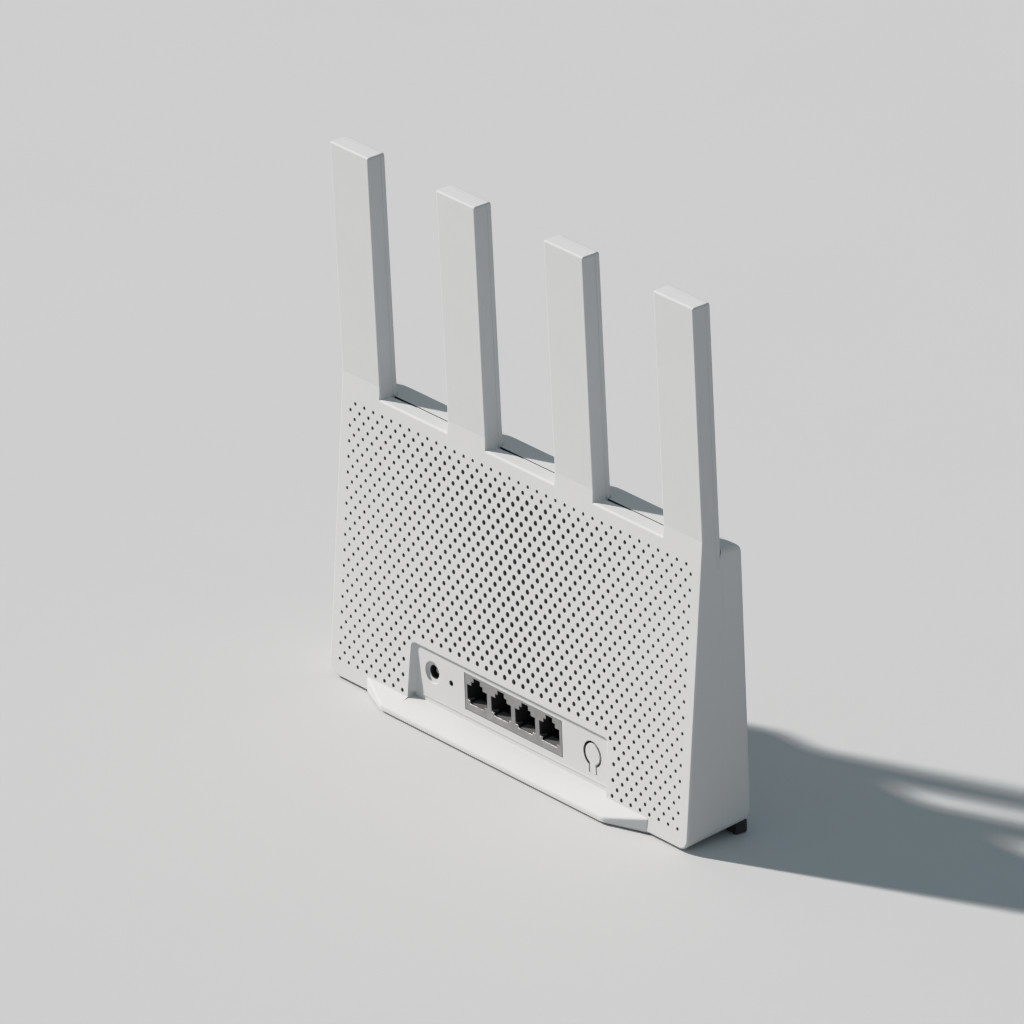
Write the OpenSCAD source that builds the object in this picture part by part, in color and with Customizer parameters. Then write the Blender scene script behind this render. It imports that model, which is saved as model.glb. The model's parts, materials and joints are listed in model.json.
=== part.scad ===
// Upright wifi router: a slim wedge-shaped body with a perforated rear panel, four fixed flat
// blade antennas and a recessed row of ports above a rear shelf that works as its stand.
// Frame: X across the width, Y from front (-) to rear (+), Z up, floor at Z = 0.

/* [Body] */
// Width of the body
body_w = 208; // [207:0.5:209]
// Height of the body's top above the floor
body_top = 113.4; // [113:0.2:114]
// Depth of the rear panel's plane behind the origin, at floor level
rear_y0 = 11.85; // [11.7:0.05:12]
// Lean of the rear panel towards the front, in degrees
rear_lean = 3.19; // [3.1:0.03:3.25]
// Depth of the front face's plane at floor level
front_y0 = -18.84; // [-19:0.04:-18.8]
// Lean of the front face towards the rear, in degrees
front_lean = 2.89; // [2.8:0.03:2.95]
// Wall thickness of the two shells
wall = 2.0; // [1.9:0.1:2.2]
// Gap between the floor and the rear edge of the base
rear_gap = 0.8; // [0.8:0.1:1.0]
// Gap between the floor and the front edge of the base
front_gap = 5.2; // [5:0.1:5.4]

/* [Perforations] */
// Distance between neighbouring holes in a row
hole_pitch = 5.3; // [5.2:0.05:5.3]
// Distance between rows, measured along the panel
row_pitch = 3.02; // [3:0.01:3.03]
// Hole diameter at the middle of the panel
hole_d_mid = 2.1; // [2.0:0.05:2.2]
// Loss of hole diameter for each millimetre away from the middle
hole_fade = 0.0082; // [0.006:0.0002:0.0084]

/* [Antennas] */
// Width of an antenna blade
blade_w = 22.6; // [22:0.2:22.6]
// Thickness of an antenna blade
blade_t = 8.5; // [8.4:0.1:8.8]
// Length of a blade above the bend in the rear panel
blade_h = 90; // [80:1:95]
// Lean of the blades towards the rear, in degrees
blade_lean = 3.3; // [3.1:0.1:3.5]
// Height of the bend where a blade leaves the panel
bend_z = 118; // [117.6:0.2:118.4]
// Distance between the middles of neighbouring blades
blade_pitch = 61.8; // [61.7:0.1:61.8]

/* [Port recess] */
// Width of the recess
recess_w = 115.4; // [115:0.2:116]
// Height of the recess's upper edge
recess_top = 28.5; // [28.2:0.1:29]
// Height of the shelf where it meets the panel
shelf_z = 6.3; // [6:0.1:6.5]
// Height of the row of ports
port_z = 18.4; // [18.3:0.1:18.5]
// Depth of the recess wall's outer face at the row of ports
port_y = 8.75; // [8.7:0.05:8.8]
// Lean of the recess wall towards the rear, in degrees
port_lean = 2.5; // [2.4:0.1:2.6]

/* [Network ports] */
// Distance between neighbouring network ports
port_pitch = 13.97; // [13.9:0.01:14.0]
// Sideways place of the block of network ports
port_x = -0.5; // [-0.6:0.1:-0.4]
// Depth of the port block from its face to the board
port_depth = 14.5; // [14.4:0.1:14.6]

/* [Power, reset and mesh key] */
// Sideways place of the power inlet
jack_x = 46.3; // [46:0.1:46.6]
// Bore of the power inlet
jack_bore = 5.6; // [5.6:0.1:5.8]
// Diameter of the power inlet's centre pin
jack_pin = 2.0; // [1.6:0.1:2.1]
// Sideways place of the reset pinhole
reset_x = 35.5; // [35.2:0.1:35.8]
// Diameter of the reset pinhole
reset_d = 2.2; // [2:0.1:2.4]
// Sideways place of the mesh key
key_x = -46.3; // [-46.6:0.1:-46]
// Diameter of the mesh key
key_d = 8.6; // [8.5:0.1:8.8]

/* [Hidden] */

$fn = 32;
eps = 0.01;
half_w = body_w / 2;
big = 300;                     // longer than any side of the part
side_top_r = 2.2;              // edge radius along the top of the two side walls
side_low_r = 4.5;              // edge radius along their foot

// Where the shells part: on the side walls and base, and along the top between the blades
seam_y = -4.15;
top_seam_y = -0.85;
seam_gap = 0.1;
groove_gap = 0.45;             // the wider gap along the top and round the blades
lip_t = 1.0;                   // the rear cover's inner lip that the front shell closes over
lip_h = 2.2;

// Rows and columns of the perforations
hole_rows = 34;
first_row_z = 107.5;           // height of the uppermost row
first_row_d = 1.35;
second_row_d = 1.65;
recess_rows = 8;               // rows that the recess interrupts
field_top = (hole_rows - 1) * row_pitch + 2.6;
grille_split = 22.3;           // where the side grilles meet the one above the recess
recess_clear = 22.5;           // half-pitches kept free each side of the middle
recess_clear_top = 20.5;       // the same, in the row just above the recess

// Shelf behind the panel
shelf_half_w = 81.9;
shelf_inner_half_w = recess_w / 2 + wall;
shelf_rear_half_w = 64.4;
shelf_rear_y = 18.75;
shelf_rear_z = 2.9;

// Main board, placed in the frame of the recess wall
board_t = 1.6;
board_half_w = 90;
board_low = -8.5;
board_high = 74;
board_y = -port_depth - 0.1;   // the face that the ports stand on
post_d = 5.6;
pilot_depth = 2.2;             // of the screw holes in the posts
post_spots = [[-84, 3], [84, 3], [-84, 68], [84, 68], [0, 68]];
cover_screw_x = 82;
cover_screw_y = 5;

// Opening of one network port
port_open_w = 11.7;
port_block_w = 4 * port_pitch + 0.1;
port_low = -7.3;
port_high = 7.1;
port_cavity = 12.6;
shield_t = 0.3;

// Mesh key and switches
tongue_w = 3.2;
tongue_low = -7.5;
key_t = 1.6;
key_slot = 0.7;
post_tip = -9.54;              // end of the post behind the key
switch_w = 6;
switch_h = 3.6;
plunger_d = 3.4;
plunger_len = 1.4;

// Power inlet
jack_z = 0.6;                  // its axis above the row of ports
jack_ring = 8.6;               // diameter of the counterbore in the recess wall
jack_body_w = 9;
jack_body_l = 12.3;

// Antenna blades
blade_low = -12;               // foot of a blade, below the bend
blade_foot_z = 90;             // height where the panel's tabs behind the blades begin
cover_split = -5.6;            // where the rear half of a blade meets its front cover
blade_wall = 1.3;
blade_rear_r = 0.8;
blade_front_r = 1.9;
antenna_board_w = 19.2;
antenna_board_h = 72;

// Antenna cables
plug_z = 66;
plug_d = 3;
coax_r = 0.6;
coax_sides = 8;

// Cooling and chips
sink_z = 22;
sink_w = 84;
sink_h = 30;
sink_fins = 23;
fin_pitch = 3.2;
chip_t = 1.2;
low_chip_t = 1.0;
pad_t = 0.5;
processor_w = 16;
processor_z = 30;
radio_x = 62;
can_w = 24;
can_h = 26;
can_t = 2.4;
spreader_w = 130;
spreader_h = 56;
spreader_t = 1.0;
spreader_gap = 2;

// Status light, screws and feet
led_z = 16;
led_w = 9;
led_h = 1.2;
screw_head_z = 3.2;
screw_head_d = 5.4;
front_foot_x = 93.5;
front_foot_w = 18;
rear_foot_w = 16;
label_half_w = 26;
label_t = 0.15;

function rear_y(z) = rear_y0 - z * tan(rear_lean);
function front_y(z) = front_y0 + z * tan(front_lean);
function base_z(y) = rear_gap + (rear_y(rear_gap) - y) * (front_gap - rear_gap)
    / (rear_y(rear_gap) - front_y(front_gap));
function blade_x(i) = (i - 1.5) * -blade_pitch;
function plug_x(i) = blade_x(i) * 0.84;
function panel_row_z(r) = first_row_z - r * row_pitch * cos(rear_lean);

// Turns a YZ outline into a prism along X
module along_x(x0, x1) {
    translate([x0, 0, 0]) rotate([90, 0, 90]) linear_extrude(x1 - x0) children();
}

// Turns an XZ outline into a prism along Y
module along_y(y0, y1) {
    translate([0, y1, 0]) rotate([90, 0, 0]) linear_extrude(y1 - y0) children();
}

// Places things in the frame of the recess wall: y = 0 is its outer face, z runs up along it
module port_frame() {
    translate([0, port_y, port_z]) rotate([-port_lean, 0, 0]) children();
}

// Places things in the frame of blade i: y = 0 is its rear face, z = 0 is the bend
module blade_frame(i) {
    translate([blade_x(i), rear_y(bend_z), bend_z]) rotate([-blade_lean, 0, 0]) children();
}

module rounded(w, h, r) {
    offset(r) square([w - 2 * r, h - 2 * r], center = true);
}

// ---- Body outline ----

module side_outline(inset = 0) {
    offset(delta = -inset)
        polygon([[rear_y(rear_gap), rear_gap], [rear_y(body_top), body_top],
            [front_y(body_top), body_top], [front_y(front_gap), front_gap]]);
}

module soft_side_outline() {
    intersection() {
        offset(0.9) offset(-0.9) side_outline();
        // the edge over the front is rounder than the others
        offset(3.6) offset(-3.6)
            polygon([[40, rear_gap - 4], [40, body_top], [front_y(body_top), body_top],
                [front_y(front_gap), front_gap - 0.4]]);
    }
}

// Rounds the upright edges of one face that leans, by a prism that runs along the face
module edge_prism(y_face, lean, r, side) {
    translate([0, y_face, 0]) rotate([lean, 0, 0]) translate([0, 0, -10])
        linear_extrude(body_top + 30)
            translate([0, -side * 40]) rounded(body_w, 80, r);
}

module body_solid() {
    intersection() {
        along_x(-half_w, half_w) soft_side_outline();
        edge_prism(rear_y0, rear_lean, 0.9, 1);
        edge_prism(front_y0, -front_lean, 2.4, -1);
        along_y(-40, 40) {
            intersection() {
                translate([0, body_top - 100]) rounded(body_w, 200, side_top_r);
                translate([0, rear_gap + 100]) rounded(body_w, 200, side_low_r);
            }
        }
    }
}

module body_hollow(inset = wall) {
    along_x(-half_w + inset, half_w - inset) side_outline(inset);
}

// Half-space behind the seam, moved towards the rear by gap
module rear_region(gap = 0) {
    translate([-big / 2, seam_y + gap, -eps]) cube([big, big, body_top - wall]);
    translate([-big / 2, top_seam_y + gap, 0]) cube([big, big, body_top + eps]);
}

// ---- Antenna blades ----

module blade_outline(r_rear, r_front) {
    intersection() {
        translate([0, -blade_t]) rounded(blade_w, 2 * blade_t, r_rear);
        rounded(blade_w, 2 * blade_t, r_front);
    }
}

module blade_solid(i) {
    blade_frame(i) intersection() {
        translate([0, 0, blade_low]) linear_extrude(blade_h - blade_low)
            blade_outline(blade_rear_r, blade_front_r);
        // round the corners of the tip
        along_y(-20, 20) translate([0, blade_h - 60]) rounded(blade_w, 120, 1.0);
        along_x(-20, 20) translate([-blade_t / 2, blade_h - 60]) rounded(blade_t, 120, 0.9);
    }
}

// Rear half of a blade: a channel that is open to the front and at its foot
module antenna_back(i) {
    color("whitesmoke") difference() {
        intersection() {
            blade_solid(i);
            blade_frame(i) translate([-20, cover_split, -30]) cube([40, 20, 150]);
        }
        blade_frame(i) translate([-blade_w / 2 + blade_wall, -20, blade_low - 1])
            cube([blade_w - 2 * blade_wall, 20 - blade_wall, blade_h - blade_low + 1 - 1.5]);
        // below the bend the panel's tab covers the blade's foot
        cover_tab(i, 5);
    }
}

// Part of the rear panel that rises to the bend behind blade i
module cover_tab(i, grow = 0) {
    along_x(blade_x(i) - blade_w / 2 - grow, blade_x(i) + blade_w / 2 + grow)
        polygon([[rear_y(blade_foot_z) + grow, blade_foot_z], [rear_y(bend_z) + grow, bend_z],
            [rear_y(bend_z) - 0.01, bend_z], [rear_y(bend_z - 8) - wall - 0.02, bend_z - 8],
            [rear_y(blade_foot_z) - wall - 0.02, blade_foot_z]]);
}

module antenna_cover(i) {
    color("gainsboro") difference() {
        intersection() {
            blade_solid(i);
            blade_frame(i) translate([-20, -20, -30]) cube([40, 20 + cover_split - 0.05, 150]);
        }
        blade_frame(i) translate([-blade_w / 2 + 1.6, -blade_t + 1.4, blade_low - 1])
            cube([blade_w - 3.2, 5, blade_h - blade_low + 1 - 1.6]);
    }
}

module antenna_board(i) {
    color("darkgreen") blade_frame(i)
        translate([-antenna_board_w / 2, -4.4, 10]) cube([antenna_board_w, 0.8, antenna_board_h]);
}

// ---- Shells ----

module front_post(x) {
    // screw post on the base, tied to the front wall by a rib
    difference() {
        union() {
            translate([x, cover_screw_y, base_z(cover_screw_y - 3.5) + wall + 0.1])
                cylinder(d = 7, h = 7);
            translate([x - 0.8, front_y(8) + 1, base_z(0) + wall + 1.5])
                cube([1.6, cover_screw_y - front_y(8), 5]);
        }
        translate([x, cover_screw_y, 0]) cylinder(d = 2.4, h = 14);
    }
}

module front_shell() {
    color("whitesmoke") difference() {
        union() {
            difference() {
                body_solid();
                body_hollow();
                rear_region(-seam_gap);
                // wider gap along the top edge of the seam
                translate([-big / 2, top_seam_y - groove_gap, body_top - 1.2]) cube([big, 10, 10]);
                for (i = [0 : 3]) {
                    translate([blade_x(i) - blade_w / 2 - 0.3, seam_y - 0.05, body_top - 4.8])
                        cube([blade_w + 0.6, 20, 10]);
                }
            }
            for (s = [-1, 1]) {
                front_post(s * cover_screw_x);
            }
        }
        // window for the light pipe
        translate([-led_w / 2, front_y(led_z) - 5, led_z - led_h / 2]) cube([led_w, 10, led_h]);
    }
}

module hole_row(r) {
    // odd rows have one hole less and sit half a pitch over
    odd = r % 2 == 0 ? 1 : 0;
    n = 38 - odd;
    cap = r == 0 ? first_row_d : (r == 1 ? second_row_d : hole_d_mid);
    for (k = [0 : n - 1]) {
        x = (k - (n - 1) / 2) * hole_pitch;
        free = r < hole_rows - recess_rows
            || abs(x) > (r == hole_rows - recess_rows ? recess_clear_top : recess_clear)
            * hole_pitch / 2;
        if (free)
            translate([x, (hole_rows - 1 - r) * row_pitch])
                circle(d = min(cap, hole_d_mid - hole_fade * abs(x)), $fn = 16);
    }
}

// Places a prism of the perforated field's outline in the rear panel, from depth y0 to y1
module field_prism(y0, y1) {
    low = panel_row_z(hole_rows - 1);
    translate([0, rear_y(low), low]) rotate([90 + rear_lean, 0, 0]) translate([0, 0, y0])
        linear_extrude(y1 - y0) children();
}

module field_outline() {
    translate([-100, -3]) square([200, field_top + 3]);
}

// Part of the perforated field between two edges across the panel and two heights along it,
// with the posts that stand on it and carry the main board
module grille_part(x0, x1, low, high) {
    color("whitesmoke") difference() {
        union() {
            field_prism(0, wall) intersection() {
                difference() {
                    field_outline();
                    for (r = [0 : hole_rows - 1]) {
                        hole_row(r);
                    }
                }
                translate([x0, low]) square([x1 - x0, high - low]);
            }
            intersection() {
                difference() {
                    at_posts() cylinder(d = post_d, h = 30);
                    // the posts end on the inner face of the panel
                    along_x(-half_w, half_w) polygon([[rear_y(0) - wall + 0.1, 0],
                        [rear_y(body_top) - wall + 0.1, body_top], [60, body_top], [60, 0]]);
                }
                field_prism(-big, big) translate([x0, low]) square([x1 - x0, high - low]);
            }
        }
        recess_volume(wall);
        shelf();
        at_posts() translate([0, 0, -1]) cylinder(d = 2.2, h = pilot_depth + 1);
    }
}

module rear_grille() {
    grille_part(-100, 100, grille_split, field_top);
}

// Perforated field beside the recess, on one side
module side_grille(side) {
    inner = recess_w / 2 - 4;
    grille_part(side < 0 ? -100 : inner, side < 0 ? -inner : 100, -3, grille_split);
}

// Outline of the recess as seen from the rear
module recess_outline(grow = 0) {
    intersection() {
        translate([0, recess_top - 40]) offset(grow) rounded(recess_w, 80, 3);
        translate([-half_w, shelf_z - grow]) square([body_w, 40]);
    }
}

// Slab between two depths of the recess wall's frame
module wall_slab(inner, outer) {
    foot_y = port_y + (shelf_z - port_z - 3) * tan(port_lean);
    head_y = port_y + (recess_top + 3 - port_z) * tan(port_lean);
    along_x(-half_w, half_w) polygon([[foot_y - inner, shelf_z - 3],
        [head_y - inner, recess_top + 3], [head_y + outer, recess_top + 3],
        [foot_y + outer, shelf_z - 3]]);
}

module recess_volume(grow = 0) {
    intersection() {
        wall_slab(grow, 32);
        along_y(-40, 50) recess_outline(grow);
    }
}

// Rear wall of the recess, with the ways through for the ports, the inlet and the mesh key
module port_wall() {
    color("whitesmoke") difference() {
        intersection() {
            wall_slab(wall, 0);
            along_y(-40, 50) recess_outline();
        }
        port_wall_cuts();
    }
}

module shelf() {
    y0 = rear_y(rear_gap) - 1.2;
    intersection() {
        along_x(-half_w, half_w) polygon([[4, base_z(4) + 1], [y0, base_z(y0) + 1],
            [y0, rear_gap], [shelf_rear_y, rear_gap], [shelf_rear_y, shelf_rear_z],
            [rear_y(shelf_z), shelf_z], [4, shelf_z]]);
        translate([0, 0, -1]) linear_extrude(20) polygon([[-shelf_inner_half_w, 2],
            [-shelf_inner_half_w, rear_y(4) - wall], [-shelf_half_w, rear_y(4) - wall],
            [-shelf_half_w, rear_y(4)], [-shelf_rear_half_w, shelf_rear_y],
            [shelf_rear_half_w, shelf_rear_y], [shelf_half_w, rear_y(4)],
            [shelf_half_w, rear_y(4) - wall], [shelf_inner_half_w, rear_y(4) - wall],
            [shelf_inner_half_w, 2]]);
    }
}

module port_wall_cuts() {
    port_frame() {
        // window for the network ports
        translate([port_x - port_block_w / 2 - 0.15, -8, port_low - 0.15])
            cube([port_block_w + 0.3, 12, port_high - port_low + 0.3]);
        // power inlet
        translate([jack_x, 4, jack_z]) rotate([90, 0, 0]) cylinder(d = jack_bore + 0.2, h = 10);
        translate([jack_x, 4, jack_z]) rotate([90, 0, 0]) cylinder(d = jack_ring, h = 5);
        // reset pinhole
        translate([reset_x, 4, 0]) rotate([90, 0, 0]) cylinder(d = reset_d, h = 10);
        // slot round the mesh key and its tongue
        translate([key_x, 4, 0]) rotate([90, 0, 0]) cylinder(d = key_d + 2 * key_slot, h = 10);
        translate([key_x - tongue_w / 2 - key_slot, -8, tongue_low - 0.12])
            cube([tongue_w + 2 * key_slot, 12, -tongue_low]);
    }
}

// Shape shared by everything that stands on a post of the main board
module at_posts() {
    for (p = post_spots) {
        port_frame() translate([p[0], board_y, p[1]]) rotate([-90, 0, 0]) children();
    }
}

module inner_lip() {
    difference() {
        union() {
            intersection() {
                body_hollow(wall + 0.12);
                translate([-big / 2, seam_y - lip_h, 0]) cube([big, lip_h + 1, body_top - 8]);
            }
            intersection() {
                body_hollow(wall - 0.5);
                translate([-big / 2, seam_y + 0.1, 0]) cube([big, 2, body_top - 8]);
            }
        }
        body_hollow(wall + 0.12 + lip_t);
        for (s = [-1, 1]) {
            translate([s * cover_screw_x - 5, -20, 0]) cube([10, 40, 16]);
        }
    }
}

module rear_cover() {
    color("whitesmoke") difference() {
        union() {
            difference() {
                union() {
                    body_solid();
                    for (i = [0 : 3]) {
                        cover_tab(i);
                    }
                }
                body_hollow();
                field_prism(-1, wall + 3) field_outline();
                // everything in front of the seam belongs to the front shell
                translate([-big / 2, seam_y - big, -10]) cube([big, big, big]);
                translate([-half_w + wall + 1, top_seam_y - 20, body_top - 5])
                    cube([body_w - 2 * wall - 2, 20, 20]);
                for (i = [0 : 3]) {
                    blade_foot_room(i);
                }
            }
            shelf();
            intersection() {
                recess_volume(wall);
                body_solid();
                translate([-big / 2, seam_y, 0]) cube(big);
            }
            inner_lip();
        }
        // the recess, and the room of its rear wall
        intersection() {
            wall_slab(wall + 1, 32);
            along_y(-40, 50) recess_outline();
        }
        for (s = [-1, 1]) {
            translate([s * cover_screw_x, cover_screw_y, -1]) cylinder(d = 3, h = 12);
            translate([s * cover_screw_x, cover_screw_y, -1]) cylinder(d = 6, h = screw_head_z + 1);
        }
    }
}

// Room that blade i takes where it passes through the top of the body
module blade_foot_room(i) {
    intersection() {
        blade_frame(i) translate([-blade_w / 2, -blade_t - 1, blade_low - 1])
            cube([blade_w, blade_t + 1, 40]);
        translate([-big / 2, -40, body_top - 12]) cube([big, 80, 40]);
    }
}

module mesh_key() {
    color("whitesmoke") port_frame() {
        translate([key_x, 0, 0]) rotate([90, 0, 0]) cylinder(d = key_d, h = key_t);
        translate([key_x - tongue_w / 2, -key_t, tongue_low])
            cube([tongue_w, key_t, -tongue_low - 2]);
        translate([key_x, -key_t + 0.2, 0]) rotate([90, 0, 0])
            cylinder(d = 2.4, h = -post_tip - key_t + 0.2);
    }
}

// ---- Main board and what stands on it ----

module main_board() {
    color("darkgreen") port_frame() translate([0, board_y, 0]) rotate([90, 0, 0])
        linear_extrude(board_t) difference() {
            offset(1.5) offset(-1.5) polygon([[-70, board_low], [70, board_low],
                [70, board_low + 9], [76, board_low + 9], [76, 0.5], [board_half_w, 0.5],
                [board_half_w, board_high], [-board_half_w, board_high], [-board_half_w, 0.5],
                [-76, 0.5], [-76, board_low + 9], [-70, board_low + 9]]);
            for (p = post_spots) {
                translate(p) circle(d = 3);
            }
        }
}

// A plain block standing on the board: middle x, lower edge z, width, height and thickness
module on_board(x, z, w, h, t, lift = 0) {
    port_frame() translate([x - w / 2, board_y + lift, z]) cube([w, t, h]);
}

module board_screws() {
    color("silver") at_posts() {
        translate([0, 0, -board_t - 1.4]) cylinder(d = 5, h = 1.4);
        translate([0, 0, -board_t - 0.1]) cylinder(d = 2.15, h = board_t + pilot_depth - 0.1);
    }
}

module port_opening() {
    translate([-port_open_w / 2, -4.4]) square([port_open_w, 7.4]);
    translate([-3.4, 2]) square([6.8, 2.6]);
    translate([-1.95, 3]) square([3.9, 3.4]);
}

module each_port() {
    for (k = [0 : 3]) {
        port_frame() translate([port_x + (k - 1.5) * port_pitch, 0, 0]) children();
    }
}

// Block that holds the network ports, from depth y0 to y1 of the recess wall's frame
module port_block(inset, y0, y1) {
    port_frame() translate([port_x - port_block_w / 2 + inset, y0, port_low + inset])
        cube([port_block_w - 2 * inset, y1 - y0, port_high - port_low - 2 * inset]);
}

module port_shield() {
    color("silver") difference() {
        port_block(0, board_y, -0.1);
        port_block(shield_t, board_y - 1, -0.1 - shield_t);
        each_port() translate([0, 1, 0]) rotate([90, 0, 0]) linear_extrude(5) port_opening();
    }
}

module port_insulator() {
    color("dimgray") difference() {
        port_block(shield_t + 0.02, board_y, -0.1 - shield_t - 0.02);
        each_port() {
            translate([0, 1, 0]) rotate([90, 0, 0]) linear_extrude(port_cavity + 1) port_opening();
            // tray for the feet of the contacts
            translate([-4.2, -port_cavity - 1.3, -4.9]) cube([8.4, port_cavity - 1.8, 1]);
        }
    }
}

// Eight spring contacts rise from the floor of each port
module port_contacts() {
    color("goldenrod") each_port() for (c = [0 : 7]) {
        translate([(c - 3.5) * 1.02 - 0.17, 0, 0]) rotate([90, 0, 90]) linear_extrude(0.34)
            polygon([[-port_cavity - 1.2, -4.8], [-3.2, -4.8], [-3.2, -4.4], [-10.3, -2.6],
                [-10.4, -2.9], [-4.4, -4.5], [-port_cavity - 1.2, -4.5]]);
    }
}

module dc_jack_body() {
    color("dimgray") difference() {
        port_frame() translate([jack_x - jack_body_w / 2, board_y, jack_z - 5.4])
            cube([jack_body_w, jack_body_l, 10.8]);
        port_frame() translate([jack_x, 1, jack_z]) rotate([90, 0, 0])
            cylinder(d = jack_bore, h = 12.5);
        port_frame() translate([jack_x, -10, jack_z]) rotate([90, 0, 0])
            cylinder(d = jack_pin, h = 3.5);
    }
}

module dc_jack_pin() {
    color("silver") port_frame() translate([jack_x, -2.4, jack_z]) rotate([90, 0, 0])
        cylinder(d = jack_pin, h = 11);
}

module tact_switch(x) {
    color("dimgray") difference() {
        on_board(x, -switch_w / 2, switch_w, switch_w, switch_h);
        port_frame() translate([x, board_y + 10, 0]) rotate([90, 0, 0])
            cylinder(d = plunger_d + 0.12, h = 8.6);
    }
}

module plunger(x) {
    color("silver") port_frame() translate([x, board_y + switch_h + plunger_len, 0])
        rotate([90, 0, 0]) cylinder(d = plunger_d, h = plunger_len + 1.6);
}

module coax_plugs() {
    color("goldenrod") for (i = [0 : 3]) {
        port_frame() translate([plug_x(i), board_y + 1.7, plug_z]) rotate([90, 0, 0])
            cylinder(d = plug_d, h = 1.7);
    }
}

// ---- Antenna cables ----

// Route of coax i: out of its plug, up behind the board and into the foot of its blade
function coax_route(i) = [
    [plug_x(i), 2.2, 86.8], [plug_x(i), 2.5, 89], [plug_x(i) * 1.02, 2.9, 91.5],
    [plug_x(i) * 1.05, 3.2, 94], [plug_x(i) * 1.1, 3.2, 97], [plug_x(i) * 1.15, 2.8, 100],
    [blade_x(i) * 0.99, 2.1, 103], [blade_x(i), 1.4, 106], [blade_x(i), 1.0, 109],
    [blade_x(i), 1.0, 112], [blade_x(i), 1.3, 115], [blade_x(i), 1.8, 118],
    [blade_x(i), 2.3, 121], [blade_x(i), 2.7, 124], [blade_x(i), 2.95, 128],
    [blade_x(i), 3.18, 132]];

function unit(v) = v / norm(v);
function tangent(p, k) = unit(p[min(k + 1, len(p) - 1)] - p[max(k - 1, 0)]);

module tube(p, r, sides) {
    rings = [for (k = [0 : len(p) - 1])
        let (t = tangent(p, k), u = unit(cross([0, 1, 0], t)), v = cross(t, u))
        for (a = [0 : sides - 1])
            p[k] + r * (cos(a * 360 / sides) * u + sin(a * 360 / sides) * v)];
    walls = [for (k = [0 : len(p) - 2]) for (a = [0 : sides - 1])
        let (b = (a + 1) % sides)
        [k * sides + a, (k + 1) * sides + a, (k + 1) * sides + b, k * sides + b]];
    last = (len(p) - 1) * sides;
    ends = [[for (a = [0 : sides - 1]) a], [for (a = [0 : sides - 1]) last + sides - 1 - a]];
    polyhedron(rings, concat(walls, ends));
}

module antenna_coax(i) {
    color("dimgray") tube(coax_route(i), coax_r, coax_sides);
}

// ---- Cooling ----

module heatsink() {
    color("silver") {
        difference() {
            on_board(0, sink_z, sink_w, sink_h, 1.4, chip_t + pad_t);
            for (s = [-1, 1]) {
                port_frame() translate([s * (sink_w / 2 - 3), 0, sink_z + sink_h / 2])
                    rotate([90, 0, 0]) cylinder(d = 2.6, h = 20);
            }
        }
        for (k = [0 : sink_fins - 1]) {
            on_board((k - (sink_fins - 1) / 2) * fin_pitch, sink_z, 0.9, sink_h, 2.6,
                chip_t + pad_t + 1.3);
        }
    }
}

module heatsink_clips() {
    color("dimgray") for (s = [-1, 1]) {
        port_frame() translate([s * (sink_w / 2 - 3), board_y, sink_z + sink_h / 2])
            rotate([-90, 0, 0]) {
                cylinder(d = 2.4, h = 4);
                translate([0, 0, chip_t + pad_t + 1.4]) cylinder(d = 5, h = 1);
            }
    }
}

module shield_cans() {
    color("silver") for (s = [-1, 1]) {
        difference() {
            on_board(s * radio_x, 30, can_w, can_h, can_t);
            on_board(s * radio_x, 30.3, can_w - 0.6, can_h - 0.6, can_t - 0.3, -0.01);
        }
    }
}

module heat_spreader() {
    color("silver") difference() {
        on_board(0, 6, spreader_w, spreader_h, spreader_t,
            -board_t - spreader_gap - spreader_t);
        for (s = [-1, 1]) {
            port_frame() translate([s * 60, 0, 34]) rotate([90, 0, 0]) cylinder(d = 8, h = 30);
        }
    }
}

module processor_chip() {
    color("dimgray") on_board(0, processor_z, processor_w, processor_w, chip_t);
}

module memory_chip() {
    color("dimgray") on_board(16, processor_z + 2, 8, 12, low_chip_t);
}

module flash_chip() {
    color("dimgray") on_board(-18, processor_z + 4, 8, 6, low_chip_t);
}

module radio_chips() {
    color("dimgray") for (s = [-1, 1]) {
        on_board(s * radio_x, processor_z + 8, 10, 10, low_chip_t);
    }
}

module heatsink_pad() {
    color("lightblue") on_board(0, processor_z, processor_w, processor_w, pad_t, chip_t);
}

module spreader_pad() {
    color("lightblue")
        on_board(0, processor_z - 4, 24, 24, spreader_gap, -board_t - spreader_gap);
}

module network_transformers() {
    color("dimgray") for (s = [-1, 1]) {
        on_board(0.5 + s * port_pitch, 9.5, 17, 9, 4);
    }
}

module status_led() {
    color("ivory") on_board(0, -3, 3, 1.6, 0.8, -board_t - 0.8);
}

module capacitors() {
    color("slategray") for (p = [[60, 4], [60, 13], [69.5, 13]]) {
        port_frame() translate([p[0], board_y, p[1]]) rotate([-90, 0, 0]) {
            cylinder(d = 6.3, h = 7.7);
            translate([-3.3, -3.3, 0]) cube([6.6, 6.6, 0.8]);
        }
    }
}

module power_inductors() {
    color("dimgray") for (p = [[50, 10], [42, 10], [-64, 12]]) {
        on_board(p[0], p[1], 6, 6, 3);
    }
}

// ---- Light, fasteners, feet ----

module light_pipe() {
    color("white") {
        translate([-led_w / 2 + 0.1, front_y(led_z) + 0.05, led_z - 0.5])
            cube([led_w - 0.2, 3.4, 1.0]);
        translate([-3, front_y(led_z) + 3.2, led_z - 1.5]) cube([6, 5.2, 3]);
    }
}

module cover_screws() {
    color("silver") for (s = [-1, 1]) {
        translate([s * cover_screw_x, cover_screw_y, 0]) {
            translate([0, 0, screw_head_z - 0.9]) cylinder(d = screw_head_d, h = 0.9);
            translate([0, 0, screw_head_z - 0.1]) cylinder(d = 2.3, h = 9);
        }
    }
}

module foot(x, y0, y1, w) {
    // wedge that fills the space between the sloping base and the floor
    along_x(x - w / 2, x + w / 2)
        polygon([[y0, 0], [y1, 0], [y1, base_z(y1)], [y0, base_z(y0)]]);
}

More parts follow.
